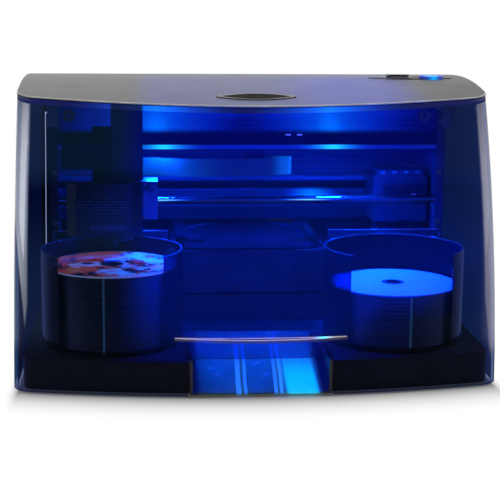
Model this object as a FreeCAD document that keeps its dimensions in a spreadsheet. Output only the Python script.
import FreeCAD, Part
import math
import os
import re

import Sketcher

# Disc label printer with two disc recorders, two disc bins and a picking arm, in millimetres.
# +X is to the right of someone facing the front, +Y goes to the back, +Z is up.
# The origin is the middle of the machine on the surface it stands on.

SIZES = [
    # lid: metallic cover, smoked window and what is fixed to them
    ("lid_half_foot", 218, "half width of the lid at its lower edge"),
    ("lid_half_crown", 214, "half width of the lid at its cover"),
    ("lid_front", 206, "lid's front face at floor level, ahead of the origin"),
    ("lid_lean", 552, "radius of the front face's backward curve, seen from the side"),
    ("lid_bow", 900, "radius of the front face, seen from above"),
    ("lid_corner", 20, "radius of the lid's upright corners"),
    ("lid_back", 206, "lid's back face, behind the origin"),
    ("lid_wall", 3, "wall of the smoked window"),
    ("lid_floor_gap", 1.5, "lid's lower edge above the floor"),
    ("loft_over", 8, "lid's outline is lofted this far past its cover"),
    ("crown_height", 268, "highest line of the cover"),
    ("crown_ahead", 10, "highest line, ahead of the origin"),
    ("arch_front", 560, "radius of the cover from the crown to the front"),
    ("arch_back", 900, "radius of the cover from the crown to the back"),
    ("arch_reach", 40, "how far the cover's curve runs on past the lid"),
    ("cover_thick", 3.5, "thickness of the metallic cover"),
    ("gasket_thick", 2, "thickness of the black seal under the cover"),
    ("gasket_wide", 7, "width of the seal"),
    ("window_back", 190, "back edge of the window's sides"),
    ("lip_drop", 5, "lower edge of the lid's back lip, below the hinge axis"),
    ("lip_room", 12, "room ahead of the hinge axis for the back lip when it swings"),
    ("notch_half", 64, "half width of the window's notch over the chute"),
    ("notch_high", 35, "top of that notch"),
    ("grip_half", 76, "half length of the finger ledge on the window"),
    ("grip_out", 8, "how far the ledge stands out"),
    ("grip_thick", 2.6, "thickness of the ledge"),
    ("grip_low", 50.6, "underside of the ledge"),
    ("badge_half", 36, "half length of the blank badge"),
    ("badge_half_wide", 9, "half width of the blank badge"),
    ("badge_ahead", 126, "badge's middle, ahead of the origin"),
    ("badge_thick", 0.8, "badge's height above the cover"),
    ("film", 0.1, "adhesive film under the badge, the control bezel and the flat cable"),
    ("bezel_half", 41, "half length of the control bezel"),
    ("bezel_half_wide", 9, "half width of the control bezel"),
    ("bezel_right", 157.5, "middle of the control bezel, right of the origin"),
    ("bezel_ahead", 36, "middle of the control bezel, ahead of the origin"),
    ("bezel_thick", 0.6, "height of the control bezel above the cover"),
    ("power_right", 178, "power button, right of the origin"),
    ("power_radius", 11.8, "radius of the power button"),
    ("pause_right", 144.5, "middle of the pause button, right of the origin"),
    ("pause_half", 10.5, "half width of the pause button"),
    ("pause_half_deep", 5.5, "half depth of the pause button"),
    ("button_proud", 1.9, "how far the lid's buttons stand above the crown line"),
    ("button_tall", 9, "height of the lid's buttons"),
    ("button_gap", 0.4, "gap all round a button"),
    ("button_travel", 1.2, "travel of a push button"),
    ("board_thick", 1.6, "thickness of a circuit board"),
    ("tab_inner", 178, "inner side of the lid's interlock tabs"),
    ("tab_outer", 189, "outer side of the lid's interlock tabs"),
    ("tab_ahead", 95, "interlock tabs, ahead of the origin"),
    ("tab_drop", 42, "lower end of the interlock tabs, below the highest line of the cover"),
    ("tab_thick", 2, "thickness of the interlock tabs"),
    ("dish_rim", 3.2, "width of the power button's raised rim"),
    ("dish_deep", 0.6, "depth of the hollow inside that rim"),
    ("switch_half", 3, "half side of a switch on the control board"),
    ("peg_radius", 1.5, "radius of the pegs that carry the control board"),
    ("peg_inset", 2, "pegs' distance from the board's edges"),
    # hinge
    ("hinge_back", 198, "hinge axis behind the origin"),
    ("hinge_drop", 44, "hinge axis below the highest line of the cover"),
    ("hinge_pin", 2, "radius of the hinge pins"),
    ("hinge_fit", 0.05, "radial clearance of the lid's arms on the pins"),
    ("knuckle", 4.5, "outer radius of the hinge knuckles"),
    ("knuckle_wide", 8, "width of a hinge knuckle"),
    ("hinge_side", 150, "inner side of the hinge brackets"),
    ("hinge_leg", 44, "lower end of the hinge brackets, below the hinge axis"),
    ("hinge_deep", 6, "depth of the hinge brackets"),
    ("neck_clear", 1.6, "upper part of the brackets, ahead of the base's back"),
    ("pin_end", 1, "hinge pins reach this far past the knuckles"),
    # base
    ("foot_high", 2.5, "height of the rubber feet"),
    ("foot_radius", 11, "radius of the rubber feet"),
    ("foot_side", 180, "rubber feet, left and right of the middle"),
    ("foot_ahead", 150, "front feet, ahead of the origin"),
    ("foot_behind", 170, "back feet, behind the origin"),
    ("base_half", 209, "half width of the base"),
    ("base_front", 200, "front of the base, ahead of the origin"),
    ("base_back", 195, "back of the base, behind the origin"),
    ("base_bow", 900, "radius of the base's front, seen from above"),
    ("base_corner", 10, "radius of the base's upright front corners"),
    ("base_wall", 3, "wall of the base pan"),
    ("base_floor", 2.5, "floor of the base pan"),
    ("corner_room", 6, "extra depth of the chute's mouth in the bowed front wall"),
    ("deck_high", 30.6, "top of the deck"),
    ("deck_thick", 2, "thickness of the deck"),
    ("deck_room", 4, "room between the recorders and the deck's edge, at the sides"),
    ("deck_room_behind", 20, "room behind the recorders in the deck"),
    ("chute_half", 62.5, "half width of the disc chute"),
    ("chute_wall", 2.5, "side wall of the chute"),
    ("chute_sheet", 2, "thickness of the chute's ramp"),
    ("chute_front", 205, "front edge of the chute, ahead of the origin"),
    ("chute_top", 91, "top edge of the ramp, ahead of the origin"),
    ("chute_low", 4.5, "ramp's height at its front edge"),
    ("chute_side_high", 33.5, "top of the chute's side walls"),
    ("chute_seat", 10, "length of the chute's seat on the base's floor"),
    ("chute_taper", 20, "length over which the side walls fall off to the deck"),
    # chassis
    ("face_ahead", 49, "front of the mechanism, ahead of the origin"),
    ("sheet", 1.5, "thickness of the chassis sheet"),
    ("frame_side", 189, "inner side of the side frames"),
    ("frame_thick", 2, "thickness of the side frames"),
    ("frame_drop", 33, "top of the side frames, below the highest line of the cover"),
    ("flange_wide", 6, "width of the side frames' front flange"),
    ("panel_inner", 78, "inner edge of the front panels"),
    ("panel_outer", 187, "outer edge of the front panels"),
    ("panel_high", 121, "top of the front panels"),
    ("wall_back", 100, "chassis back wall, behind the origin"),
    ("wall_room", 3, "room round the recorders where they pass the back wall"),
    ("rear_thick", 3, "thickness of the rear panel"),
    ("rear_drop", 11, "top of the rear panel, below the hinge axis"),
    ("fit_gap", 0.3, "clearance between pieces that slide or sit close"),
    ("past", 1, "how far a cut runs past the face that it opens"),
    # disc bins
    ("bin_side", 131, "middle of a bin, left or right of the origin"),
    ("bin_ahead", 115, "middle of a bin, ahead of the origin"),
    ("bin_radius", 65, "outer radius of a bin"),
    ("bin_wall", 2.5, "wall of a bin"),
    ("bin_rim", 117, "height of a bin's rim"),
    ("bin_open_half", 46.5, "half width of a bin's front opening"),
    ("disc_radius", 60, "radius of a disc"),
    ("disc_hole", 7.5, "radius of a disc's hole"),
    ("disc_thick", 1.2, "thickness of a disc"),
    ("left_stack_top", 102.4, "top of the left stack of discs"),
    ("right_stack_top", 83, "top of the right stack of discs"),
    # recorders
    ("drive_low", 14.6, "underside of the lower recorder"),
    ("drive_pitch", 44.7, "from one recorder to the next"),
    ("drive_face_high", 42, "height of a recorder's face"),
    ("drive_face_half", 74, "half width of a recorder's face"),
    ("drive_face_thick", 5, "thickness of a recorder's face"),
    ("drive_case_half", 73, "half width of a recorder's case"),
    ("drive_case_high", 41.3, "height of a recorder's case"),
    ("drive_case_deep", 170, "depth of a recorder's case"),
    ("drive_skin", 1.2, "sheet of a recorder's case"),
    ("cage_over", 6, "cage reaches this far past the recorders' back"),
    ("cage_foot", 10, "width of the cage's feet"),
    ("tray_face_low", 24, "underside of a tray's face above the recorder's underside"),
    ("tray_face_high", 15.5, "height of a tray's face"),
    ("tray_face_half", 62.7, "half width of a tray's face"),
    ("tray_face_thick", 4, "thickness of a tray's face"),
    ("tray_low", 28, "underside of a tray above the recorder's underside"),
    ("tray_thick", 7, "thickness of a tray"),
    ("tray_half", 62, "half width of a tray"),
    ("tray_end", 118, "back end of a closed tray, behind the origin"),
    ("tray_travel", 137, "how far a recorder's tray slides out"),
    ("recess_deep", 2, "depth of the disc recess in a tray"),
    ("recess_gap", 0.6, "recess is this much larger than the disc all round"),
    ("lens_half", 16, "half width of a tray's opening for the laser"),
    ("lens_front", 20, "front of that opening, ahead of the disc's middle"),
    ("lens_behind", 50, "back of that opening, behind the disc's middle"),
    ("eject_right", 50, "eject button, right of the origin"),
    ("eject_half", 6, "half width of an eject button"),
    ("eject_low", 17, "underside of an eject button above the recorder's underside"),
    ("eject_high", 5, "height of an eject button"),
    ("eject_proud", 1.4, "how far an eject button stands out"),
    # printing
    ("plate_half", 42.5, "half width of the print tray's face"),
    ("plate_high", 11.5, "height of the print tray's face"),
    ("plate_thick", 2, "thickness of the print tray's face"),
    ("print_tray_thick", 5.4, "thickness of the print tray"),
    ("print_tray_end", 112, "back end of the closed print tray, behind the origin"),
    ("print_travel", 132, "how far the print tray slides out"),
    ("rail_outer", 70, "outer side of the print tray's rails"),
    ("rail_high", 9, "height of the print tray's rails"),
    ("rail_lip", 1.3, "overhang of the rails over the print tray"),
    ("rail_end", 125, "back end of the print tray's rails, behind the origin"),
    ("rod_radius", 4, "radius of the two guide rods"),
    ("rod_fit", 0.05, "radial clearance of a bearing on its rod"),
    ("print_rod_back", 40, "print guide rod, behind the origin"),
    ("print_rod_high", 160, "height of the print guide rod"),
    ("bridge_back", 60, "printer's back plate, behind the origin"),
    ("bridge_low", 114, "lower edge of the printer's back plate"),
    ("bridge_shelf", 12, "depth of the shelf along its upper edge"),
    ("bridge_drop", 4, "upper edge of the printer's back plate, below the beam"),
    ("carriage_left", 130, "left side of the parked print carriage"),
    ("carriage_wide", 54, "width of the print carriage"),
    ("carriage_front", 6, "front of the print carriage, ahead of the origin"),
    ("carriage_low", 122, "underside of the print carriage"),
    ("carriage_high", 168, "top of the print carriage"),
    ("carriage_wall", 3, "wall of the print carriage"),
    ("carriage_floor", 14, "cartridges' seat above the carriage's underside"),
    ("carriage_behind", 12, "back of the carriage, behind the guide rod"),
    ("bearing_ahead", 8, "front of the carriage's bearing, ahead of the guide rod"),
    ("cartridge_rise", 6, "how far the cartridges stand above the carriage"),
    ("cap_gap", 0.5, "capping station below the parked carriage"),
    ("cap_high", 9.5, "height of the capping station's cups"),
    ("cup_inset", 5, "cups' distance from the carriage's sides"),
    ("cup_long", 20, "width of a cup"),
    ("cup_deep", 34, "depth of a cup"),
    ("cup_front", 0, "front of the cups, behind the origin"),
    ("cup_shelf", 4, "thickness of the shelf below the cups"),
    # arm and gantry
    ("beam_tall", 17, "height of the gantry beam"),
    ("beam_drop", 14, "top of the gantry beam below the top of the side frames"),
    ("beam_front", 46, "front of the gantry beam, ahead of the origin"),
    ("beam_deep", 12, "depth of the gantry beam"),
    ("guide_ahead", 43, "lower guide rod, ahead of the origin"),
    ("guide_drop", 12.5, "lower guide rod below the middle between beam and front panels"),
    ("trolley_front", 58, "front of the arm's trolley, ahead of the origin"),
    ("trolley_thick", 6, "thickness of the trolley's plate"),
    ("trolley_left", 150, "left side of the trolley, left of the origin"),
    ("bearing_inset", 10, "trolley's bearing and hook start this far in from its left side"),
    ("hook_deep", 6, "depth of the hook on the gantry beam"),
    ("hook_high", 3, "top of the hook above the gantry beam"),
    ("trolley_skirt", 3, "trolley's underside below the guide rod, and its bearing above it"),
    ("trolley_drop", 2, "top of the trolley below the top of the column"),
    ("column_left", 130, "left side of the arm's column, left of the origin"),
    ("column_right", 102, "right side of the arm's column, left of the origin"),
    ("column_front", 100, "front of the column, ahead of the origin"),
    ("column_deep", 20, "depth of the column"),
    ("column_rise", 8, "lower end of the column above the bins' rims"),
    ("column_drop", 20, "top of the column's cap, below the highest line of the cover"),
    ("cap_thick", 4, "thickness of the column's cap"),
    ("column_wall", 2.5, "wall of the column"),
    ("cap_over", 2, "overhang of the column's cap"),
    ("neck_inset", 2, "neck between column and trolley, in from the column's sides"),
    ("neck_rise", 16, "lower edge of that neck above the lifting motor's underside"),
    ("screw_back", 11, "lifting screw behind the column's front"),
    ("screw_radius", 2.5, "radius of the lifting screw"),
    ("screw_rise", 2, "lower end of the lifting screw above the column's"),
    ("motor_left", 176, "left side of the lifting motor, left of the origin"),
    ("motor_tall", 21, "height of the lifting motor"),
    ("motor_drop", 39, "top of the lifting motor below the top of the column"),
    ("motor_deep", 24, "depth of the lifting motor"),
    ("head_left", 171, "left side of the picker head, left of the origin"),
    ("head_right", 113, "right side of the picker head, left of the origin"),
    ("head_front", 130, "front of the picker head, ahead of the origin"),
    ("head_back", 112, "back of the picker head, ahead of the origin"),
    ("head_rise", 13, "underside of the picker head above the bins' rims"),
    ("lift_room", 10, "room between the picker head and the lifting motor"),
    ("head_bevel", 9, "bevel on the picker head's left side"),
    ("shoe_right", 88.5, "right side of the lifting shoe, left of the origin"),
    ("shoe_back", 84, "back of the lifting shoe, ahead of the origin"),
    ("web_over", 1, "lifting shoe reaches this far past the column's left side"),
    ("gripper_flange", 20, "radius of the gripper's flange"),
    ("gripper_thick", 4, "thickness of the gripper's flange"),
    ("gripper_plug", 5.8, "radius of the gripper's plug, which spreads inside a disc's hole"),
    ("gripper_slit", 1.6, "width of the slits in the plug"),
    ("gripper_long", 8, "length of the gripper's plug"),
    ("pulley_side", 172, "belt pulleys, left and right of the origin"),
    ("pulley_radius", 6, "radius of the belt pulleys"),
    ("flank", 1, "pulleys stand out this far at each side of the belt"),
    ("key_half", 0.6, "half width of the mark cut in a pulley's end"),
    ("arm_inner", 8, "pulleys' brackets start this far inside their axles"),
    ("arm_low", 14, "lower edge of the pulleys' brackets, below the belt's middle"),
    ("drive_drop", 6, "driving motor's axis below the belt's middle"),
    ("drive_radius", 11, "radius of the driving motor"),
    ("drive_long", 24, "length of the driving motor"),
    ("belt_drop", 3, "belt's middle below the top of the side frames"),
    ("belt_front", 40, "front edge of the belt, ahead of the origin"),
    ("belt_wide", 6, "width of the belt"),
    ("belt_thick", 1.2, "thickness of the belt"),
    ("axle_radius", 2, "radius of the pulleys' and the fan's axles"),
    ("led_side", 86, "light boards, left and right of the origin"),
    ("led_half", 12, "half length of a light board"),
    ("led_deep", 8, "depth of a light board"),
    ("chip_half", 2, "half side of a lamp chip"),
    ("chip_tall", 1.4, "height of a lamp chip"),
    ("chip_pitch", 7, "from one lamp chip to the next"),
    ("ribbon_tall", 19, "width of the flat cable, which stands on edge"),
    ("ribbon_drop", 11, "upper edge of the flat cable below the beam"),
    ("ribbon_thick", 0.4, "thickness of the flat cable"),
    ("ribbon_bend", 4, "radius of the flat cable's loop"),
    ("ribbon_right", 46, "right end of the flat cable's loop"),
    ("clamp_left", 5, "left side of the cable clamp, left of the origin"),
    ("clamp_wide", 20, "width of the cable clamp"),
    ("clamp_half_thick", 1.5, "half thickness of the cable clamp"),
    ("clamp_bite", 8, "clamp reaches this far down the flat cable"),
    ("ribbon_hold", 6, "length of the flat cable that lies on the trolley"),
    # rear
    ("vent_near", 40, "near end of the rear panel's air slots, from the middle"),
    ("vent_long", 100, "length of an air slot"),
    ("vent_low", 100, "lowest air slot"),
    ("vent_slot", 3, "width of an air slot"),
    ("vent_tall", 80, "from the lowest air slot to the highest"),
    ("vent_pitch", 8, "from one air slot to the next"),
    ("fan_side", 120, "fan's axis, left of the origin"),
    ("fan_height", 150, "height of the fan's axis"),
    ("fan_half", 30, "half side of the fan's frame"),
    ("fan_deep", 15, "depth of the fan's frame"),
    ("fan_bore", 28, "radius of the fan's opening"),
    ("fan_tip_gap", 1, "clearance at the tips of the blades"),
    ("fan_inset", 1.5, "fan's hub lies this far inside its frame"),
    ("strut_thick", 2.5, "thickness of the fan's struts"),
    ("strut_half", 1.5, "half width of the fan's struts"),
    ("blade_root", 1.2, "half thickness of a blade at the hub"),
    ("blade_lead", 6, "leading edge of a blade's tip"),
    ("blade_trail", 4, "trailing edge of a blade's tip"),
    ("blade_bite", 1.5, "a blade starts this far inside the hub"),
    ("fan_hub", 11, "radius of the fan's hub"),
    ("socket_high", 46, "height of the rear sockets"),
    ("power_socket_side", 67, "power socket, left of someone facing the back"),
    ("data_socket_side", 97, "data socket, left of someone facing the back"),
    ("socket_half", 7, "half width of the rear sockets"),
    ("socket_half_tall", 6, "half height of the rear sockets"),
    ("socket_wall", 2, "wall of the rear sockets"),
    ("socket_deep", 12, "length of the rear sockets inside the rear panel"),
    ("socket_floor", 4, "thickness of the sockets' inner end"),
    ("socket_proud", 0.5, "how far the rear sockets stand out"),
    ("main_half", 80, "half width of the main board"),
    ("main_low", 122, "lower edge of the main board"),
    ("main_drop", 23, "upper edge of the main board below the top of the side frames"),
    ("standoff", 3, "length of the main board's standoffs"),
    ("post_radius", 2.5, "radius of those standoffs"),
    ("post_inset", 6, "standoffs' distance from the board's edges"),
    ("screw_head", 2.6, "radius of the chassis screws' heads"),
    ("screw_tall", 1, "height of the chassis screws' heads"),
    ("screw_edge", 5, "screws' distance from the panels' sides"),
    ("screw_inset", 8, "screws' distance from the upper and lower edges"),
]

# heights that follow from the sizes above
PLACES = {
    "loft_top": "crown_height + loft_over",
    "hinge_high": "crown_height - hinge_drop",
    "rear_high": "hinge_high - rear_drop",
    "tab_low": "crown_height - tab_drop",
    "frame_high": "crown_height - frame_drop",
    "beam_high": "frame_high - beam_drop",
    "beam_low": "beam_high - beam_tall",
    "belt_high": "frame_high - belt_drop",
    "guide_high": "(beam_low + panel_high) / 2 - guide_drop",
    "ribbon_high": "beam_low - ribbon_drop",
    "ribbon_low": "ribbon_high - ribbon_tall",
    "column_high": "crown_height - column_drop",
    "column_low": "bin_rim + column_rise",
    "trolley_high": "column_high - trolley_drop",
    "trolley_low": "guide_high - rod_radius - trolley_skirt",
    "motor_high": "column_high - motor_drop",
    "motor_low": "motor_high - motor_tall",
    "head_low": "bin_rim + head_rise",
    "head_high": "motor_low - lift_room",
    "bridge_high": "beam_low - bridge_drop",
    "main_high": "frame_high - main_drop",
    "cage_top": "drive_low + drive_pitch + drive_face_high + fit_gap + sheet",
}

V = FreeCAD.Vector
UP = V(0, 0, 1)
doc = FreeCAD.newDocument("disc_label_printer")
sheet = doc.addObject("Spreadsheet::Sheet", "Sizes")
for row, (name, number, meaning) in enumerate(SIZES, 1):
    sheet.set(f"A{row}", name)
    sheet.set(f"B{row}", str(number))
    sheet.set(f"C{row}", meaning)
    sheet.setAlias(f"B{row}", name)
doc.recompute()
NAMES = {name for name, _, _ in SIZES}
nodes = {}


def bound(text):
    """An expression with the name of each size turned into its cell in the sheet."""
    def cell(word):
        if word[0] in PLACES:
            return f"({bound(PLACES[word[0]])})"
        return "Sizes." + word[0] if word[0] in NAMES else word[0]

    return re.sub(r"[a-z][a-z_0-9]*", cell, text)


def size(text):
    """The number that such an expression has now."""
    return float(sheet.evalExpression(bound(text)))


def keep(name, piece):
    """Makes a document object the sub-part of that name."""
    piece.Label = name
    nodes[name] = piece
    return piece


# ---- Part primitives whose sizes and places are bound to the sheet ----

def place(piece, **spots):
    for axis, text in spots.items():
        piece.setExpression(f"Placement.Base.{axis}", bound(text))


def block(x0, x1, y0, y1, z0, z1):
    piece = doc.addObject("Part::Box", "block")
    piece.setExpression("Length", bound(f"({x1}) - ({x0})"))
    piece.setExpression("Width", bound(f"({y1}) - ({y0})"))
    piece.setExpression("Height", bound(f"({z1}) - ({z0})"))
    place(piece, x=x0, y=y0, z=z0)
    return piece


def rod(direction, x, y, z, radius, length):
    """A cylinder that starts at a point and runs along +X, +Y or +Z."""
    piece = doc.addObject("Part::Cylinder", "rod")
    piece.setExpression("Radius", bound(radius))
    piece.setExpression("Height", bound(length))
    piece.Placement = FreeCAD.Placement(V(0, 0, 0), FreeCAD.Rotation(UP, V(*direction)))
    place(piece, x=x, y=y, z=z)
    return piece


ALONG_X = (1, 0, 0)
ALONG_Y = (0, 1, 0)
ALONG_Z = (0, 0, 1)


def fuse(*pieces):
    piece = doc.addObject("Part::MultiFuse", "joined")
    piece.Shapes = list(pieces)
    return piece


def together(*pieces):
    """Separate solids in one sub-part."""
    piece = doc.addObject("Part::Compound", "group")
    piece.Links = list(pieces)
    return piece


def cut(base, *tools):
    piece = doc.addObject("Part::Cut", "trimmed")
    piece.Base = base
    piece.Tool = tools[0] if len(tools) == 1 else fuse(*tools)
    return piece


def both_sides(make):
    """The piece that make(side) builds, at the left and at the right."""
    return together(make("-1"), make("1"))


def side_block(side, near, far, y0, y1, z0, z1):
    """A block between two distances from the middle, on the side given as '-1' or '1'."""
    low, high = (near, far) if side == "1" else (f"-({far})", f"-({near})")
    return block(low, high, y0, y1, z0, z1)


# ---- PartDesign bodies and sketches bound to the sheet ----

def new_body(name):
    return keep(name, doc.addObject("PartDesign::Body", name))


def new_sketch(body, role, offset="0"):
    """A sketch on an origin plane of its body. XZ sketches face -Y, so their offset is minus the y."""
    sketch = body.newObject("Sketcher::SketchObject", body.Name + "_sketch")
    plane = next(o for o in body.Origin.OriginFeatures if o.Role == role)
    sketch.AttachmentSupport = (plane, [""])
    sketch.MapMode = "FlatFace"
    sketch.setExpression("AttachmentOffset.Base.z", bound(offset))
    return sketch


def bind_point(sketch, geometry, point, x, y):
    for axis, text in (("DistanceX", x), ("DistanceY", y)):
        index = sketch.addConstraint(Sketcher.Constraint(axis, -1, 1, geometry, point, size(text)))
        sketch.setExpression(f"Constraints[{index}]", bound(text))


def polygon(sketch, corners):
    """A closed outline of straight lines through the corners, each a pair of expressions."""
    spots = [V(size(x), size(y), 0) for x, y in corners]
    count = len(spots)
    first = sketch.GeometryCount
    for i in range(count):
        sketch.addGeometry(Part.LineSegment(spots[i], spots[(i + 1) % count]))
    for i, (x, y) in enumerate(corners):
        sketch.addConstraint(Sketcher.Constraint("Coincident", first + i, 2, first + (i + 1) % count, 1))
        bind_point(sketch, first + i, 1, x, y)


def rectangle(sketch, x0, x1, y0, y1):
    polygon(sketch, [(x0, y0), (x1, y0), (x1, y1), (x0, y1)])


def circle(sketch, x, y, radius):
    index = sketch.addGeometry(Part.Circle(V(size(x), size(y), 0), UP, size(radius)))
    constraint = sketch.addConstraint(Sketcher.Constraint("Radius", index, size(radius)))
    sketch.setExpression(f"Constraints[{constraint}]", bound(radius))
    bind_point(sketch, index, 3, x, y)


def pad(body, sketch, length, reverse=False):
    feature = body.newObject("PartDesign::Pad", body.Name + "_pad")
    feature.Profile = sketch
    feature.setExpression("Length", bound(length))
    feature.Reversed = reverse
    return feature


def pocket(body, sketch, length, reverse=False):
    """Cuts the sketch's outline into the body, and makes sure that it removed something."""
    doc.recompute()
    before = body.Shape.Volume
    feature = body.newObject("PartDesign::Pocket", body.Name + "_pocket")
    feature.Profile = sketch
    feature.setExpression("Length", bound(length))
    feature.Reversed = reverse
    doc.recompute()
    if body.Shape.Volume > before - 0.01:
        raise RuntimeError(f"{feature.Name} cuts nothing")
    return feature


def bowed_outline(sketch, half, front, back, bow):
    """A rectangle whose front side is an arc that bulges forward."""
    corner_y = f"-({front}) + ({bow}) - sqrt(({bow})^2 - ({half})^2)"
    left, right = V(-size(half), size(corner_y), 0), V(size(half), size(corner_y), 0)
    arc = sketch.addGeometry(Part.Arc(left, V(0, -size(front), 0), right))
    rear_right = V(size(half), size(back), 0)
    rear_left = V(-size(half), size(back), 0)
    start = sketch.Geometry[arc].StartPoint
    start_is_left = (start - left).Length < (start - right).Length
    left_end, right_end = (1, 2) if start_is_left else (2, 1)
    side_right = sketch.addGeometry(Part.LineSegment(right, rear_right))
    rear = sketch.addGeometry(Part.LineSegment(rear_right, rear_left))
    side_left = sketch.addGeometry(Part.LineSegment(rear_left, left))
    sketch.addConstraint(Sketcher.Constraint("Coincident", arc, right_end, side_right, 1))
    sketch.addConstraint(Sketcher.Constraint("Coincident", side_right, 2, rear, 1))
    sketch.addConstraint(Sketcher.Constraint("Coincident", rear, 2, side_left, 1))
    sketch.addConstraint(Sketcher.Constraint("Coincident", side_left, 2, arc, left_end))
    bind_point(sketch, side_right, 1, half, corner_y)
    bind_point(sketch, rear, 1, half, back)
    bind_point(sketch, side_left, 1, f"-({half})", back)
    bind_point(sketch, side_left, 2, f"-({half})", corner_y)
    radius = sketch.addConstraint(Sketcher.Constraint("Radius", arc, size(bow)))
    sketch.setExpression(f"Constraints[{radius}]", bound(bow))


def round_front_corners(body, radius):
    """Fillets the body's two upright corners that lie furthest forward."""
    doc.recompute()
    upright = []
    for number, edge in enumerate(body.Shape.Edges, 1):
        box = edge.BoundBox
        if box.XLength < 0.01 and box.YLength < 0.01 and box.Center.y < 0:
            upright.append((abs(box.Center.x), f"Edge{number}"))
    widest = max(distance for distance, _ in upright)
    names = [name for distance, name in upright if distance > widest - 0.01]
    base = body.Tip
    fillet = body.newObject("PartDesign::Fillet", body.Name + "_corners")
    fillet.Base = (base, names)
    fillet.setExpression("Radius", bound(radius))
    doc.recompute()


# ---- lid: curved shells made by Part's own functions from the sheet ----

def lid_section(inset, height):
    """The lid's outline at one height, moved inwards by inset: a wire with an arc for its front."""
    share = height / size("loft_top")
    half = size("lid_half_foot") + (size("lid_half_crown") - size("lid_half_foot")) * share - inset
    front = -size("lid_front") + height ** 2 / (2 * size("lid_lean")) + inset
    back = size("lid_back") - inset
    bow = size("lid_bow") - inset
    corner = max(size("lid_corner") - inset, 1)
    middle = front + bow
    corner_x = half - corner
    corner_y = middle - math.sqrt((bow - corner) ** 2 - corner_x ** 2)
    reach = bow / (bow - corner)
    meet = V(corner_x * reach, middle + (corner_y - middle) * reach, height)
    bend = (V(corner_x, corner_y, 0) - V(0, middle, 0)).normalize() + V(1, 0, 0)
    bend = V(corner_x, corner_y, height) + bend.normalize() * corner
    slope = corner * math.sqrt(0.5)
    right = [
        Part.Arc(meet, bend, V(half, corner_y, height)),
        Part.LineSegment(V(half, corner_y, height), V(half, back - corner, height)),
        Part.Arc(V(half, back - corner, height),
                 V(half - corner + slope, back - corner + slope, height),
                 V(half - corner, back, height)),
    ]
    mirror = FreeCAD.Matrix()
    mirror.scale(-1, 1, 1)
    left = [curve.toShape().transformGeometry(mirror) for curve in right]
    front_arc = Part.Arc(V(-meet.x, meet.y, height), V(0, front, height), meet)
    back_line = Part.LineSegment(V(half - corner, back, height), V(-half + corner, back, height))
    edges = [front_arc.toShape()] + [curve.toShape() for curve in right] + [back_line.toShape()] + left
    return Part.Wire(Part.__sortEdges__(edges))


def lid_solid(inset):
    """Everything inside the lid's outer faces, moved inwards by inset, with no top or bottom."""
    steps = 5
    heights = [size("loft_top") * i / steps for i in range(steps + 1)]
    return Part.makeLoft([lid_section(inset, height) for height in heights], True, False)


def under_arch(drop):
    """Everything between the lid's lower edge and a curve that lies drop below the cover's top."""
    ahead, top = -size("crown_ahead"), size("crown_height") - drop
    reach = size("lid_back + arch_reach")

    def arch_point(radius, y):
        round_radius = radius - drop
        return V(0, y, top - round_radius + math.sqrt(round_radius ** 2 - (y - ahead) ** 2))

    crown = V(0, ahead, top)
    front_end = arch_point(size("arch_front"), -reach)
    back_end = arch_point(size("arch_back"), reach)
    front_arc = Part.Arc(front_end, arch_point(size("arch_front"), (ahead - reach) / 2), crown)
    back_arc = Part.Arc(crown, arch_point(size("arch_back"), (ahead + reach) / 2), back_end)
    low = size("lid_floor_gap")
    sides = [
        Part.LineSegment(back_end, V(0, reach, low)),
        Part.LineSegment(V(0, reach, low), V(0, -reach, low)),
        Part.LineSegment(V(0, -reach, low), front_end),
    ]
    wire = Part.Wire([curve.toShape() for curve in [front_arc, back_arc] + sides])
    wide = size("lid_half_foot + arch_reach")
    profile = Part.Face(wire)
    profile.translate(V(-wide, 0, 0))
    return profile.extrude(V(2 * wide, 0, 0))


def brick(x0, x1, y0, y1, z0, z1):
    """A plain solid between two corners, to cut with."""
    return Part.makeBox(x1 - x0, y1 - y0, z1 - z0, V(x0, y0, z0))


def lens(half_long, half_wide, x, y, low, high):
    """An upright solid whose outline is two arcs that meet in a point at each end."""
    tips = V(x - half_long, y, low), V(x + half_long, y, low)
    near = Part.Arc(tips[0], V(x, y - half_wide, low), tips[1]).toShape()
    far = Part.Arc(tips[1], V(x, y + half_wide, low), tips[0]).toShape()
    return Part.Face(Part.Wire([near, far])).extrude(V(0, 0, high - low))


def shaped(name, shape):
    """A sub-part whose shape is made by Part's own functions."""
    piece = doc.addObject("Part::Feature", name)
    piece.Shape = shape
    piece.Placement = FreeCAD.Placement()
    return keep(name, piece)


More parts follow.
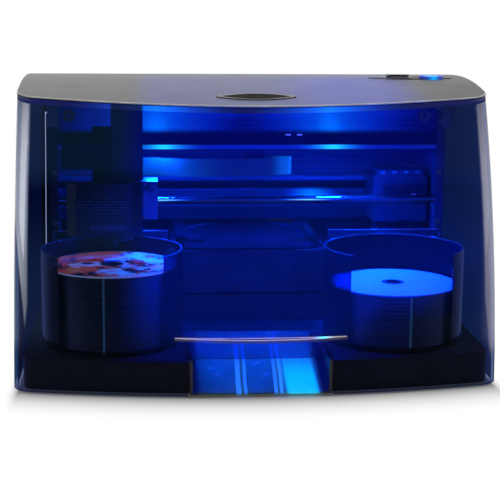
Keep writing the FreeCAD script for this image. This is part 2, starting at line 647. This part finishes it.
def build_lid():
    far = 2 * size("lid_half_foot")
    outer = lid_solid(0)
    inner = lid_solid(size("lid_wall"))
    top = size("loft_top")
    cover_under = under_arch(size("cover_thick"))
    seal_under = under_arch(size("cover_thick + gasket_thick"))

    power = Part.makeCylinder(size("power_radius + button_gap"), top,
                              V(size("power_right"), -size("bezel_ahead"), 0))
    pause = brick(size("pause_right - pause_half - button_gap"),
                  size("pause_right + pause_half + button_gap"),
                  size("-bezel_ahead - pause_half_deep - button_gap"),
                  size("-bezel_ahead + pause_half_deep + button_gap"), 0, top)
    cover = under_arch(0).cut(cover_under).common(outer).cut(power).cut(pause)
    shaped("lid_top_cover", cover)

    seal = cover_under.cut(seal_under).common(outer).cut(lid_solid(size("gasket_wide")))
    shaped("lid_gasket", seal)

    shell = seal_under.common(outer).cut(inner)
    back_part = brick(-far, far, size("window_back"), far, 0, top)
    notch = brick(-size("notch_half"), size("notch_half"), -far, 0, 0, size("notch_high"))
    shaped("lid_window", shell.cut(back_part).cut(notch))
    lip_low = size("hinge_high - lip_drop")
    shaped("lid_rear_lip", shell.common(back_part).cut(brick(-far, far, 0, far, 0, lip_low)))

    low, thick = size("grip_low"), size("grip_thick")
    face = -size("lid_front") + low ** 2 / (2 * size("lid_lean"))
    half = size("grip_half")
    sag = half ** 2 / (2 * size("lid_bow")) + size("grip_out")
    radius = half ** 2 / (2 * sag) + sag / 2
    disc = Part.makeCylinder(radius, thick, V(0, face - size("grip_out") + radius, low))
    ledge = disc.common(brick(-half, half, -far, face + sag + 1, low, low + thick)).cut(outer)
    shaped("lid_grip_lip", max(ledge.Solids, key=lambda solid: solid.Volume))

    badge = lens(size("badge_half"), size("badge_half_wide"), 0, -size("badge_ahead"), low, top)
    shaped("badge_plate", badge.common(under_arch(-size("badge_thick")).cut(under_arch(-size("film")))))

    plate = lens(size("bezel_half"), size("bezel_half_wide"), size("bezel_right"), -size("bezel_ahead"),
                 low, top)
    plate = plate.common(under_arch(-size("bezel_thick")).cut(under_arch(-size("film"))))
    plate = plate.cut(power).cut(pause)
    shaped("control_bezel", plate)

    def tab(side):
        edges = sorted([side * size("tab_inner"), side * size("tab_outer")])
        strip = brick(edges[0], edges[1], -size("tab_ahead"), -size("tab_ahead") + size("tab_thick"),
                      size("tab_low"), top)
        return strip.common(cover_under)

    shaped("lid_interlock_tabs", Part.makeCompound([tab(-1), tab(1)]))

    def hinge_arm(side):
        near = size("hinge_side + knuckle_wide + fit_gap")
        start = near if side > 0 else -near - size("knuckle_wide")
        wide = size("knuckle_wide")
        back, high, radius = size("hinge_back"), size("hinge_high"), size("knuckle")
        web = brick(start, start + wide, back - radius + 1, back + radius - 1, high, top)
        web = web.common(cover_under).cut(seal)
        barrel = Part.makeCylinder(radius, wide, V(start, back, high), V(1, 0, 0))
        hole = Part.makeCylinder(size("hinge_pin + hinge_fit"), wide, V(start, back, high), V(1, 0, 0))
        return web.fuse(barrel).cut(hole).removeSplitter()

    shaped("lid_hinge_arms", Part.makeCompound([hinge_arm(-1), hinge_arm(1)]))
    build_control_board(cover_under, top)


def build_control_board(cover_under, top):
    """The circuit board below the lid's buttons, on two pegs that reach the cover."""
    high = size("crown_height + button_proud - button_tall - button_travel - fit_gap")
    thick = size("board_thick")
    left = size("pause_right - pause_half")
    right = size("power_right + power_radius")
    front, back = size("-bezel_ahead - power_radius"), size("-bezel_ahead + power_radius")
    board = brick(left, right, front, back, high - 2 * thick, high - thick)
    middle, half = (front + back) / 2, size("switch_half")
    for x in (size("pause_right"), size("power_right")):
        board = board.fuse(brick(x - half, x + half, middle - half, middle + half, high - thick, high))
    peg_x = (size("pause_right + pause_half") + size("power_right - power_radius")) / 2
    for y in (front + size("peg_inset"), back - size("peg_inset")):
        peg = Part.makeCylinder(size("peg_radius"), top - high + thick, V(peg_x, y, high - thick))
        board = board.fuse(peg.common(cover_under))
    shaped("control_board", board.removeSplitter())


def build_lid_buttons():
    low = "crown_height + button_proud - button_tall"
    body = new_body("power_button")
    sketch = new_sketch(body, "XY_Plane", low)
    circle(sketch, "power_right", "-bezel_ahead", "power_radius")
    pad(body, sketch, "button_tall")
    dish = new_sketch(body, "XY_Plane", "crown_height + button_proud")
    circle(dish, "power_right", "-bezel_ahead", "power_radius - dish_rim")
    pocket(body, dish, "dish_deep")
    body = new_body("pause_button")
    sketch = new_sketch(body, "XY_Plane", low)
    rectangle(sketch, "pause_right - pause_half", "pause_right + pause_half",
              "-bezel_ahead - pause_half_deep", "-bezel_ahead + pause_half_deep")
    pad(body, sketch, "button_tall")


# ---- base ----

def build_base():
    body = new_body("base_pan")
    outline = new_sketch(body, "XY_Plane", "foot_high")
    bowed_outline(outline, "base_half", "base_front", "base_back", "base_bow")
    pad(body, outline, "deck_high - deck_thick - foot_high")
    round_front_corners(body, "base_corner")
    inside = new_sketch(body, "XY_Plane", "deck_high - deck_thick")
    bowed_outline(inside, "base_half - base_wall", "base_front - base_wall", "base_back - base_wall",
                  "base_bow - base_wall")
    pocket(body, inside, "deck_high - deck_thick - foot_high - base_floor")
    mouth = new_sketch(body, "XZ_Plane", "base_front + past")
    rectangle(mouth, "-chute_half - fit_gap", "chute_half + fit_gap", "foot_high + base_floor", "deck_high")
    pocket(body, mouth, "base_wall + corner_room")

    body = new_body("deck_plate")
    outline = new_sketch(body, "XY_Plane", "deck_high - deck_thick")
    bowed_outline(outline, "base_half", "base_front", "base_back", "base_bow")
    pad(body, outline, "deck_thick")
    round_front_corners(body, "base_corner")
    gaps = new_sketch(body, "XY_Plane", "deck_high")
    rectangle(gaps, "-chute_half - fit_gap", "chute_half + fit_gap", "-base_front - past",
              "-chute_top + fit_gap")
    rectangle(gaps, "-drive_face_half - deck_room", "drive_face_half + deck_room", "-face_ahead - past",
              "drive_case_deep - face_ahead + deck_room_behind")
    pocket(body, gaps, "deck_thick")

    body = new_body("rubber_feet")
    body.AllowCompound = True
    sketch = new_sketch(body, "XY_Plane")
    for x in ("-foot_side", "foot_side"):
        for y in ("-foot_ahead", "foot_behind"):
            circle(sketch, x, y, "foot_radius")
    pad(body, sketch, "foot_high")
    build_chute()


def build_chute():
    """The ramp down which a finished disc slides out, between two side walls."""
    floor_top = "foot_high + base_floor"
    underside = [
        ("-chute_front", "foot_high + fit_gap"),
        ("-base_front - fit_gap", "foot_high + fit_gap"),
        ("-base_front - fit_gap", floor_top),
        ("-base_front + chute_seat", floor_top),
        ("-chute_top", "deck_high - chute_sheet"),
        ("-chute_top", "deck_high"),
    ]
    chute = new_body("output_chute")
    ramp = new_sketch(chute, "YZ_Plane", "-chute_half + chute_wall")
    polygon(ramp, underside + [("-chute_front", "chute_low")])
    pad(chute, ramp, "2 * (chute_half - chute_wall)")
    for start in ("-chute_half", "chute_half - chute_wall"):
        wall = new_sketch(chute, "YZ_Plane", start)
        crest = [("-chute_top - chute_taper", "chute_side_high"), ("-chute_front", "chute_side_high")]
        polygon(wall, underside + crest)
        pad(chute, wall, "chute_wall")


# ---- chassis ----

def build_chassis():
    y_face = "-face_ahead"

    def side_frame(side):
        sheet_part = side_block(side, "frame_side", "frame_side + frame_thick", y_face, "base_back",
                                "deck_high", "frame_high")
        flange = side_block(side, "frame_side - flange_wide", "frame_side + frame_thick", y_face,
                            f"{y_face} + sheet", "panel_high + fit_gap", "frame_high")
        hinge_room = side_block(side, "frame_side - past", "frame_side + frame_thick + past",
                                "hinge_back - lip_room", "base_back + past", "rear_high - cap_thick",
                                "frame_high + past")
        return cut(fuse(sheet_part, flange), hinge_room)

    keep("side_frames", both_sides(side_frame))
    keep("front_panels", both_sides(lambda side: side_block(
        side, "panel_inner", "panel_outer", y_face, f"{y_face} + sheet", "deck_high", "panel_high")))

    wall = block("-frame_side", "frame_side", "wall_back", "wall_back + sheet", "deck_high", "frame_high")
    passage = block("-drive_face_half - wall_room", "drive_face_half + wall_room", "wall_back - past",
                    "wall_back + sheet + past", "deck_high - past", "cage_top + rail_high + past")
    keep("back_wall", cut(wall, passage))

    rear = new_body("rear_panel")
    sketch = new_sketch(rear, "XZ_Plane", "-base_back")
    rectangle(sketch, "-base_half", "base_half", "foot_high", "rear_high")
    pad(rear, sketch, "rear_thick", reverse=True)
    holes = new_sketch(rear, "XZ_Plane", "-base_back")
    circle(holes, "-fan_side", "fan_height", "fan_bore")
    for side in ("power_socket_side", "data_socket_side"):
        rectangle(holes, f"{side} - socket_half", f"{side} + socket_half",
                  "socket_high - socket_half_tall", "socket_high + socket_half_tall")
    pocket(rear, holes, "rear_thick")
    slot = new_sketch(rear, "XZ_Plane", "-base_back")
    rectangle(slot, "vent_near", "vent_near + vent_long", "vent_low", "vent_low + vent_slot")
    first_slot = pocket(rear, slot, "rear_thick")
    slots = rear.newObject("PartDesign::LinearPattern", "rear_slots")
    slots.Originals = [first_slot]
    slots.Direction = (slot, ["V_Axis"])
    slots.setExpression("Length", bound("vent_tall"))
    slots.Occurrences = round(size("vent_tall / vent_pitch")) + 1
    rear.Tip = slots
    doc.recompute()


def build_bins():
    for side, x in (("left", "-bin_side"), ("right", "bin_side")):
        body = new_body(f"{side}_bin")
        sketch = new_sketch(body, "XY_Plane", "deck_high")
        circle(sketch, x, "-bin_ahead", "bin_radius")
        pad(body, sketch, "bin_rim - deck_high")
        inside = new_sketch(body, "XY_Plane", "bin_rim")
        circle(inside, x, "-bin_ahead", "bin_radius - bin_wall")
        pocket(body, inside, "bin_rim - deck_high - bin_wall")
        mouth = new_sketch(body, "XY_Plane", "bin_rim")
        rectangle(mouth, f"{x} - bin_open_half", f"{x} + bin_open_half",
                  "-bin_ahead - bin_radius - 1", "-bin_ahead")
        pocket(body, mouth, "bin_rim - deck_high - bin_wall")

        top = f"{side}_stack_top"
        low = "deck_high + bin_wall"
        solids = []
        for z0, z1 in ((low, f"{top} - disc_thick"), (f"{top} - disc_thick", top)):
            whole = rod(ALONG_Z, x, "-bin_ahead", z0, "disc_radius", f"({z1}) - ({z0})")
            hole = rod(ALONG_Z, x, "-bin_ahead", z0, "disc_hole", f"({z1}) - ({z0})")
            solids.append(cut(whole, hole))
        keep(f"{side}_disc_stack", together(*solids))


# ---- recorders ----

def build_recorder(name, underside):
    """A recorder's case with its face in front, its tray and its eject button."""
    case_front = "-face_ahead + drive_face_thick"
    case_back = f"{case_front} + drive_case_deep"
    face = block("-drive_face_half", "drive_face_half", "-face_ahead", case_front,
                 underside, f"{underside} + drive_face_high")
    case = block("-drive_case_half", "drive_case_half", case_front, case_back,
                 underside, f"{underside} + drive_case_high")
    hollow = block("-drive_case_half + drive_skin", "drive_case_half - drive_skin",
                   case_front, f"{case_back} - drive_skin",
                   f"{underside} + drive_skin", f"{underside} + drive_case_high - drive_skin")
    slot_low = f"{underside} + tray_face_low - fit_gap"
    slot = block("-tray_face_half - fit_gap", "tray_face_half + fit_gap",
                 "-face_ahead - past", f"{case_front} + past",
                 slot_low, f"{slot_low} + tray_face_high + 2 * fit_gap")
    button_low = f"{underside} + eject_low"
    button_hole = block("eject_right - eject_half - fit_gap", "eject_right + eject_half + fit_gap",
                        "-face_ahead - past", f"{case_front} + past",
                        f"{button_low} - fit_gap", f"{button_low} + eject_high + fit_gap")
    keep(f"{name}_recorder_case", cut(fuse(face, case), hollow, slot, button_hole))

    tray = new_body(f"{name}_tray")
    sketch = new_sketch(tray, "XY_Plane", f"{underside} + tray_low")
    rectangle(sketch, "-tray_half", "tray_half", "-face_ahead + tray_face_thick", "tray_end")
    pad(tray, sketch, "tray_thick")
    front = new_sketch(tray, "XZ_Plane", "face_ahead")
    rectangle(front, "-tray_face_half", "tray_face_half", f"{underside} + tray_face_low",
              f"{underside} + tray_face_low + tray_face_high")
    pad(tray, front, "tray_face_thick", reverse=True)
    recess = new_sketch(tray, "XY_Plane", f"{underside} + tray_low + tray_thick")
    circle(recess, "0", "tray_travel - bin_ahead", "disc_radius + recess_gap")
    pocket(tray, recess, "recess_deep")
    window = new_sketch(tray, "XY_Plane", f"{underside} + tray_low + tray_thick")
    rectangle(window, "-lens_half", "lens_half", "tray_travel - bin_ahead - lens_front",
              "tray_travel - bin_ahead + lens_behind")
    pocket(tray, window, "tray_thick")

    button = new_body(f"{name}_eject_button")
    sketch = new_sketch(button, "XZ_Plane", "face_ahead + eject_proud")
    rectangle(sketch, "eject_right - eject_half", "eject_right + eject_half",
              button_low, f"{button_low} + eject_high")
    pad(button, sketch, "eject_proud + drive_face_thick - button_travel", reverse=True)


def build_drive_cage():
    inner = "drive_case_half + fit_gap"
    front = "-face_ahead + drive_face_thick"
    back = f"{front} + drive_case_deep + cage_over"
    top = "cage_top"
    sides = [side_block(side, inner, f"{inner} + sheet", front, back, "foot_high + base_floor", top)
             for side in ("-1", "1")]
    lid = block(f"-({inner})", inner, front, back, f"{top} - sheet", top)
    feet = [side_block(side, f"{inner} + sheet", f"{inner} + sheet + cage_foot", front, back,
                       "foot_high + base_floor", "foot_high + base_floor + sheet") for side in ("-1", "1")]
    keep("drive_cage", fuse(*sides, lid, *feet))


# ---- printing ----

def build_printing():
    top = "cage_top"
    tray_low = f"{top} + fit_gap"
    tray = new_body("print_tray")
    sketch = new_sketch(tray, "XY_Plane", tray_low)
    rectangle(sketch, "-tray_half", "tray_half", "-face_ahead + plate_thick", "print_tray_end")
    pad(tray, sketch, "print_tray_thick")
    front = new_sketch(tray, "XZ_Plane", "face_ahead")
    rectangle(front, "-plate_half", "plate_half", tray_low, f"{tray_low} + plate_high")
    pad(tray, front, "plate_thick", reverse=True)
    recess = new_sketch(tray, "XY_Plane", f"{tray_low} + print_tray_thick")
    circle(recess, "0", "print_travel - bin_ahead", "disc_radius + recess_gap")
    pocket(tray, recess, "recess_deep")

    inner = "tray_half + fit_gap"

    def rail(side):
        back = "rail_end"
        front_y = "-face_ahead + drive_face_thick"
        post = side_block(side, inner, "rail_outer", front_y, back, top, f"{top} + rail_high")
        lip_low = f"{tray_low} + print_tray_thick + fit_gap"
        lip = side_block(side, f"{inner} - rail_lip", inner, front_y, back, lip_low, f"{top} + rail_high")
        return fuse(post, lip)

    keep("print_tray_rails", both_sides(rail))
    keep("print_guide_rod", rod(ALONG_X, "-frame_side", "print_rod_back", "print_rod_high",
                                "rod_radius", "2 * frame_side"))
    plate = block("-frame_side", "frame_side", "bridge_back", "bridge_back + sheet",
                  "bridge_low", "bridge_high")
    shelf = block("-frame_side", "frame_side", "bridge_back - bridge_shelf", "bridge_back",
                  "bridge_high - sheet", "bridge_high")
    keep("printer_back_plate", fuse(plate, shelf))

    right = "carriage_left + carriage_wide"
    case = block("carriage_left", right, "-carriage_front", "print_rod_back + carriage_behind",
                 "carriage_low", "carriage_high")
    inner_back, inner_low = "print_rod_back - bearing_ahead", "carriage_low + carriage_floor"
    pocket_space = block("carriage_left + carriage_wall", f"{right} - carriage_wall",
                         "-carriage_front + carriage_wall", inner_back, inner_low, "carriage_high + past")
    bore = rod(ALONG_X, "carriage_left - past", "print_rod_back", "print_rod_high",
               "rod_radius + rod_fit", "carriage_wide + 2 * past")
    keep("print_carriage", cut(case, pocket_space, bore))
    half_width = "(carriage_wide - 2 * carriage_wall - 3 * fit_gap) / 2"
    cartridges = []
    for index in range(2):
        left = f"carriage_left + carriage_wall + fit_gap + {index} * (({half_width}) + fit_gap)"
        cartridges.append(block(left, f"{left} + ({half_width})",
                                "-carriage_front + carriage_wall + fit_gap", f"{inner_back} - fit_gap",
                                inner_low, "carriage_high + cartridge_rise"))
    keep("ink_cartridges", together(*cartridges))

    cap_top = "carriage_low - cap_gap"
    cap_low = f"{cap_top} - cap_high"
    cups = [block(left, f"{left} + cup_long", "cup_front", "cup_front + cup_deep", cap_low, cap_top)
            for left in ("carriage_left + cup_inset", f"{right} - cup_inset - cup_long")]
    shelf = block("carriage_left + cup_inset", "frame_side", "cup_front + cup_shelf",
                  "cup_front + cup_deep - cup_shelf", f"{cap_low} - cup_shelf", cap_low)
    keep("capping_station", fuse(*cups, shelf))


# ---- gantry, arm and picker ----

def build_gantry():
    front, back = "-beam_front", "-beam_front + beam_deep"
    beam = block("-frame_side", "frame_side", front, back, "beam_low", "beam_high")
    channel = block("-frame_side - past", "frame_side + past", f"{front} + sheet", f"{back} + past",
                    "beam_low + sheet", "beam_high - sheet")
    keep("gantry_beam", cut(beam, channel))
    keep("lower_guide_rod", rod(ALONG_X, "-frame_side", "-guide_ahead", "guide_high", "rod_radius",
                                "2 * frame_side"))

    belt_y = "-belt_front"
    outer = "pulley_radius + fit_gap + belt_thick"
    inner = "pulley_radius + fit_gap"

    def loop(radius):
        ends = [rod(ALONG_Y, x, belt_y, "belt_high", radius, "belt_wide")
                for x in ("-pulley_side", "pulley_side")]
        middle = block("-pulley_side", "pulley_side", belt_y, f"{belt_y} + belt_wide",
                       f"belt_high - ({radius})", f"belt_high + ({radius})")
        return fuse(*ends, middle)

    keep("gantry_belt", cut(loop(outer), loop(inner)))

    def pulley(name, x):
        wheel = rod(ALONG_Y, x, f"{belt_y} - flank", "belt_high", "pulley_radius", "belt_wide + 2 * flank")
        hole = rod(ALONG_Y, x, f"{belt_y} - 2 * flank", "belt_high", "axle_radius + rod_fit",
                   "belt_wide + 4 * flank")
        flat = block(f"{x} - key_half", f"{x} + key_half", f"{belt_y} - 2 * flank", f"{belt_y} - flank / 2",
                     "belt_high + axle_radius + flank", "belt_high + pulley_radius + past")
        keep(name, cut(wheel, hole, flat))

    pulley("drive_pulley", "-pulley_side")
    pulley("idler_pulley", "pulley_side")

    arm_y = f"{belt_y} + belt_wide + 2 * flank"

    def axle(side):
        middle = "pulley_side" if side == "1" else "-pulley_side"
        pin = rod(ALONG_Y, middle, f"{belt_y} - flank", "belt_high", "axle_radius", "belt_wide + 5 * flank")
        arm = side_block(side, "pulley_side - arm_inner", "frame_side", arm_y, f"{arm_y} + sheet",
                         "belt_high - arm_low", "frame_high")
        return fuse(pin, arm)

    motor = rod(ALONG_Y, "-pulley_side", f"{arm_y} + sheet", "belt_high - drive_drop",
                "drive_radius", "drive_long")
    keep("gantry_motor", together(fuse(axle("-1"), motor), axle("1")))

    def light(side):
        near, far = "led_side - led_half", "led_side + led_half"
        board_low = "beam_low - board_thick"
        board = side_block(side, near, far, front, f"{front} + led_deep", board_low, "beam_low")
        chips = [side_block(side, f"{middle} - chip_half", f"{middle} + chip_half",
                            f"{front} + led_deep / 2 - chip_half", f"{front} + led_deep / 2 + chip_half",
                            f"{board_low} - chip_tall", board_low)
                 for middle in ("led_side - chip_pitch", "led_side", "led_side + chip_pitch")]
        return fuse(board, *chips)

    keep("light_boards", both_sides(light))


def ribbon_y():
    """The flat cable's front face, just behind the trolley's plate."""
    return "-trolley_front + trolley_thick + film"


def build_ribbon():
    front = ribbon_y()
    middle = "ribbon_right - ribbon_bend"
    y_mid = f"{front} + ribbon_bend"
    height = "ribbon_high - ribbon_low"
    run = block("-column_right - ribbon_hold", middle, front, f"{front} + ribbon_thick",
                "ribbon_low", "ribbon_high")
    ring = cut(rod(ALONG_Z, middle, y_mid, "ribbon_low", "ribbon_bend", height),
               rod(ALONG_Z, middle, y_mid, "ribbon_low", "ribbon_bend - ribbon_thick", height),
               block(f"{middle} - 2 * ribbon_bend", middle, f"{y_mid} - 2 * ribbon_bend",
                     f"{y_mid} + 2 * ribbon_bend", "ribbon_low - past", "ribbon_high + past"))
    clamp_right = "-clamp_left + clamp_wide"
    back_y = f"{front} + 2 * ribbon_bend"
    back_run = block(clamp_right, middle, f"{back_y} - ribbon_thick", back_y, "ribbon_low", "ribbon_high")
    keep("ribbon_cable", fuse(run, ring, back_run))
    keep("ribbon_clamp", block("-clamp_left", clamp_right, f"{back_y} - clamp_half_thick",
                               f"{back_y} + clamp_half_thick", "ribbon_high - clamp_bite", "beam_low"))


def build_arm():
    plate_back = "-trolley_front + trolley_thick"
    plate = block("-trolley_left", "-column_right", "-trolley_front", plate_back,
                  "trolley_low", "trolley_high")
    bearing_left = "-trolley_left + bearing_inset"
    bearing = block(bearing_left, "-column_right", plate_back, "-guide_ahead + rod_radius + trolley_skirt",
                    "trolley_low", "guide_high + rod_radius + trolley_skirt")
    hook = block(bearing_left, "-column_right", plate_back, "-beam_front + hook_deep",
                 "beam_high + fit_gap", "beam_high + hook_high")
    bore = rod(ALONG_X, "-trolley_left - past", "-guide_ahead", "guide_high", "rod_radius + rod_fit",
               "trolley_left")
    keep("arm_trolley", cut(fuse(plate, bearing, hook), bore))

    back = "-column_front + column_deep"
    outer = block("-column_left", "-column_right", "-column_front", back,
                  "column_low", "column_high - cap_thick")
    slot = block("-column_left + column_wall", "-column_right - column_wall", "-column_front + column_wall",
                 f"{back} + past", "column_low - past", "motor_low")
    cap = block("-column_left - cap_over", "-column_right + cap_over", "-column_front - cap_over",
                f"{back} + cap_over", "column_high - cap_thick", "column_high")
    bracket = block("-column_left + neck_inset", "-column_right - neck_inset", back, "-trolley_front",
                    "motor_low + neck_rise", "column_high - 2 * cap_thick")
    keep("arm_column", fuse(cut(outer, slot), cap, bracket))
    motor = block("-motor_left", "-column_left", "-column_front", "-column_front + motor_deep",
                  "motor_low", "motor_high")
    screw = rod(ALONG_Z, "(-column_left - column_right) / 2", "-column_front + screw_back",
                "column_low + screw_rise", "screw_radius", "motor_low - column_low - screw_rise")
    keep("lift_motor", together(motor, screw))


def build_picker():
    head = new_body("picker_head")
    sketch = new_sketch(head, "XY_Plane", "head_low")
    polygon(sketch, [("-head_left", "-head_back"), ("-head_left", "-head_front + head_bevel"),
                     ("-head_left + head_bevel", "-head_front"), ("-head_right", "-head_front"),
                     ("-head_right", "-head_back")])
    pad(head, sketch, "head_high - head_low")

    shoe_back = "-column_front - fit_gap"
    web = block("-column_left - web_over", "-shoe_right", "-head_back", shoe_back,
                "trolley_low", "head_high")
    side = block("-column_right + fit_gap", "-shoe_right", shoe_back, "-shoe_back",
                 "trolley_low", "head_high")
    keep("lifting_shoe", fuse(web, side))

    flange_low = "head_low - gripper_thick"
    flange = rod(ALONG_Z, "-bin_side", "-bin_ahead", flange_low, "gripper_flange", "gripper_thick")
    spread = block("-bin_side - gripper_flange - past", "-bin_side + gripper_flange + past", "-head_back",
                   "-bin_ahead + gripper_flange + past", f"{flange_low} - past", "head_low")
    plug = rod(ALONG_Z, "-bin_side", "-bin_ahead", f"{flange_low} - gripper_long", "gripper_plug",
               "gripper_long")
    slit_low, slit_high = f"{flange_low} - gripper_long - past", f"{flange_low} - gripper_slit"
    half, reach = "gripper_slit / 2", "(gripper_plug + past)"
    slits = [block(f"-bin_side - {x}", f"-bin_side + {x}", f"-bin_ahead - {y}", f"-bin_ahead + {y}",
                   slit_low, slit_high) for x, y in ((half, reach), (reach, half))]
    keep("gripper", cut(fuse(cut(flange, spread), cut(plug, *slits)), spread))


# ---- rear ----

FAN_BLADES = 7


def build_rear():
    x, z = "-fan_side", "fan_height"
    front, back = "base_back - fan_deep", "base_back"
    square = block(f"{x} - fan_half", f"{x} + fan_half", front, back, f"{z} - fan_half", f"{z} + fan_half")
    opening = rod(ALONG_Y, x, f"{front} - past", z, "fan_bore", "fan_deep + 2 * past")
    stator = rod(ALONG_Y, x, f"{back} - strut_thick", z, "fan_hub", "strut_thick")
    axle = rod(ALONG_Y, x, f"{front} + fan_inset", z, "axle_radius", "fan_deep - strut_thick - fan_inset")
    long, half = "(fan_bore + past)", "strut_half"
    struts = [block(f"{x} - {across}", f"{x} + {across}", f"{back} - strut_thick", back,
                    f"{z} - {upright}", f"{z} + {upright}")
              for across, upright in ((long, half), (half, long))]
    keep("fan_frame", fuse(cut(square, opening), stator, axle, *struts))

    rotor = new_body("fan_rotor")
    hub = new_sketch(rotor, "XZ_Plane", "-base_back + fan_deep - fan_inset")
    circle(hub, x, z, "fan_hub")
    circle(hub, x, z, "axle_radius + rod_fit")
    pad(rotor, hub, "fan_deep - fan_inset - strut_thick - fit_gap", reverse=True)
    blade = new_sketch(rotor, "XZ_Plane", "-base_back + fan_deep - fan_inset - past")
    root_z, tip_z = f"{z} + fan_hub - blade_bite", f"{z} + fan_bore - fan_tip_gap - blade_bite"
    polygon(blade, [(f"{x} - blade_root", root_z), (f"{x} + blade_root", root_z),
                    (f"{x} + blade_lead", tip_z), (f"{x} - blade_trail", tip_z)])
    first = pad(rotor, blade, "fan_deep - fan_inset - strut_thick - 2.5 * past", reverse=True)
    blades = rotor.newObject("PartDesign::PolarPattern", "fan_blades")
    blades.Originals = [first]
    blades.Axis = (hub_axis(rotor, x, z), ["N_Axis"])
    blades.Angle = 360
    blades.Occurrences = FAN_BLADES
    rotor.Tip = blades
    doc.recompute()

    sockets = []
    for side in ("power_socket_side", "data_socket_side"):
        shell = block(f"{side} - socket_half", f"{side} + socket_half", "base_back - socket_deep",
                      "base_back + rear_thick + socket_proud",
                      "socket_high - socket_half_tall", "socket_high + socket_half_tall")
        hollow = block(f"{side} - socket_half + socket_wall", f"{side} + socket_half - socket_wall",
                       "base_back - socket_deep + socket_floor", "base_back + rear_thick + past",
                       "socket_high - socket_half_tall + socket_wall",
                       "socket_high + socket_half_tall - socket_wall")
        sockets.append(cut(shell, hollow))
    keep("rear_sockets", together(*sockets))

    board_y = "wall_back + sheet + standoff"
    board = block("-main_half", "main_half", board_y, f"{board_y} + board_thick", "main_low", "main_high")
    posts = [rod(ALONG_Y, f"{side} * (main_half - post_inset)", "wall_back + sheet", height,
                 "post_radius", "standoff")
             for side in (-1, 1) for height in ("main_low + post_inset", "main_high - post_inset")]
    keep("main_board", fuse(board, *posts))


def hub_axis(body, x, z):
    """A sketch that only carries the fan's axis as its normal."""
    sketch = new_sketch(body, "XZ_Plane")
    sketch.setExpression("AttachmentOffset.Base.x", bound(x))
    sketch.setExpression("AttachmentOffset.Base.y", bound(z))
    return sketch


def build_hinges():
    def bracket(side):
        near, far = "hinge_side", "hinge_side + knuckle_wide"
        front = "base_back - hinge_deep"
        leg = side_block(side, near, far, front, "base_back", "hinge_high - hinge_leg", "rear_high - past")
        neck = side_block(side, near, far, front, "base_back - neck_clear", "rear_high - 2 * past",
                          "hinge_high + knuckle")
        bridge = side_block(side, near, far, front, "hinge_back", "hinge_high - knuckle",
                            "hinge_high + knuckle")
        start = "hinge_side" if side == "1" else "-hinge_side - knuckle_wide"
        barrel = rod(ALONG_X, start, "hinge_back", "hinge_high", "knuckle", "knuckle_wide")
        hole = rod(ALONG_X, f"{start} - past", "hinge_back", "hinge_high", "hinge_pin",
                   "knuckle_wide + 2 * past")
        return cut(fuse(leg, neck, bridge, barrel), hole)

    keep("hinge_brackets", both_sides(bracket))

    def pin(side):
        length = "2 * knuckle_wide + fit_gap + 2 * pin_end"
        start = "hinge_side - pin_end" if side == "1" else f"-hinge_side + pin_end - ({length})"
        return rod(ALONG_X, start, "hinge_back", "hinge_high", "hinge_pin", length)

    keep("hinge_pins", both_sides(pin))


FLANGE_SCREWS = ("panel_high + screw_inset", "(panel_high + frame_high) / 2", "frame_high - screw_inset")


def build_screws():
    """Pan head screws on the side frames' flanges and on the front panels."""
    heads = []
    for side in ("-1", "1"):
        spots = [("frame_side - flange_wide / 2", z) for z in FLANGE_SCREWS]
        spots += [(x, z) for x in ("panel_inner + screw_edge", "panel_outer - screw_edge")
                  for z in ("deck_high + screw_inset", "panel_high - screw_inset")]
        for x, z in spots:
            heads.append(rod(ALONG_Y, f"{side} * ({x})", "-face_ahead - screw_tall", z,
                             "screw_head", "screw_tall"))
    keep("chassis_screws", together(*heads))


def build_all():
    build_lid()
    build_lid_buttons()
    build_base()
    build_chassis()
    build_bins()
    build_recorder("lower", "drive_low")
    build_recorder("upper", "drive_low + drive_pitch")
    build_drive_cage()
    build_printing()
    build_gantry()
    build_ribbon()
    build_arm()
    build_picker()
    build_rear()
    build_hinges()
    build_screws()


def check_and_write():
    doc.recompute()
    failed = [o.Label for o in doc.Objects if "Invalid" in o.State or "Error" in o.State]
    bad = [name for name, piece in nodes.items() if piece.Shape.isNull() or not piece.Shape.isValid()]
    if failed or bad:
        raise RuntimeError(f"failed objects {failed}, bad shapes {bad}")
    os.makedirs("parts", exist_ok=True)
    for name, piece in nodes.items():
        piece.Shape.exportStep(f"parts/{name}.step")


build_all()
check_and_write()
